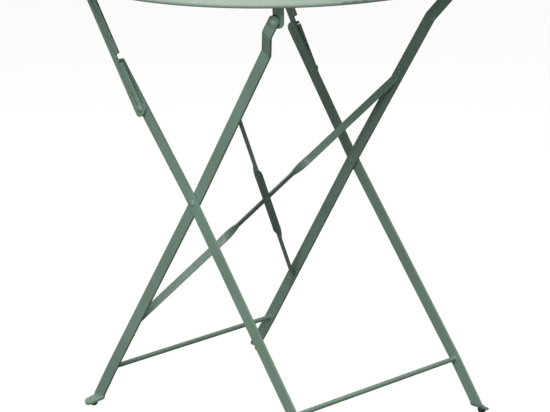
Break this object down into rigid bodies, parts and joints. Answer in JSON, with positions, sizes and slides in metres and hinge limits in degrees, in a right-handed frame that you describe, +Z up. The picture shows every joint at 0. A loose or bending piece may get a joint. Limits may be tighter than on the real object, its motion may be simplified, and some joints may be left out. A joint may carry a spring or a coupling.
{
  "type": "folding bistro table",
  "caption": "Round-topped folding bistro table in painted flat steel, with crossed legs, stretcher rods, a twisted cross brace and notched latch bars.",
  "frame": {"origin": "on the floor, under the middle of the table's box", "axes": "+Z up from the floor; +Y along the stretcher rods, towards the rear pair of legs; +X towards the hinge side of the top; the front pair of legs is at -Y"},
  "size_m": [0.5999, 0.6, 0.714],
  "materials": {
    "painted_steel": "smooth satin powder coat",
    "glide_plastic": "matte moulded plastic"
  },
  "bodies": {
    "latch_frame": {"latch_leg_front": "painted_steel", "latch_leg_rear": "painted_steel", "latch_frame_rod": "painted_steel", "crossing_rivets": "painted_steel", "latch_rivet_tails": "painted_steel", "latch_foot_glide_front": "glide_plastic", "latch_foot_glide_rear": "glide_plastic", "latch_glide_rivets": "painted_steel"},
    "pivot_frame": {"pivot_leg_front": "painted_steel", "pivot_leg_rear": "painted_steel", "pivot_frame_rod": "painted_steel", "cross_brace_rising": "painted_steel", "cross_brace_falling": "painted_steel", "brace_middle_rivet": "painted_steel", "brace_end_rivets": "painted_steel", "crossing_washers": "painted_steel", "pivot_foot_glide_front": "glide_plastic", "pivot_foot_glide_rear": "glide_plastic", "pivot_glide_rivets": "painted_steel"},
    "top": {"table_top": "painted_steel", "hinge_crossbar": "painted_steel", "latch_crossbar": "painted_steel", "hinge_rivets": "painted_steel", "hinge_washers": "painted_steel", "hinge_spacers": "painted_steel", "latch_upper_rivets": "painted_steel", "latch_upper_washers": "painted_steel", "latch_upper_spacers": "painted_steel"},
    "latch_bar_front_body": {"latch_bar_front": "painted_steel", "latch_lower_rivet_front": "painted_steel", "latch_lower_washer_front": "painted_steel"},
    "latch_bar_rear_body": {"latch_bar_rear": "painted_steel", "latch_lower_rivet_rear": "painted_steel", "latch_lower_washer_rear": "painted_steel"}
  },
  "joints": [
    {"name": "leg_fold", "type": "hinge", "parent": "latch_frame", "child": "pivot_frame", "pos_m": [-0.007, 0, 0.367], "axis": [0, -1, 0], "range_deg": [0, 65]},
    {"name": "top_hinge", "type": "hinge", "parent": "pivot_frame", "child": "top", "pos_m": [0.186, 0, 0.668], "axis": [0, -1, 0], "range_deg": [0, 49.87]},
    {"name": "latch_hinge_front", "type": "hinge", "parent": "top", "child": "latch_bar_front_body", "pos_m": [-0.2026, 0, 0.668], "axis": [0, -1, 0], "range_deg": [0, 54.43]},
    {"name": "latch_hinge_rear", "type": "hinge", "parent": "top", "child": "latch_bar_rear_body", "pos_m": [-0.2026, 0, 0.668], "axis": [0, -1, 0], "range_deg": [0, 54.43]}
  ],
  "couplings": [
    {"joint": "top_hinge", "follows": "leg_fold", "ratio": 0.7672},
    {"joint": "latch_hinge_front", "follows": "leg_fold", "ratio": 0.8374},
    {"joint": "latch_hinge_rear", "follows": "leg_fold", "ratio": 0.8374}
  ]
}
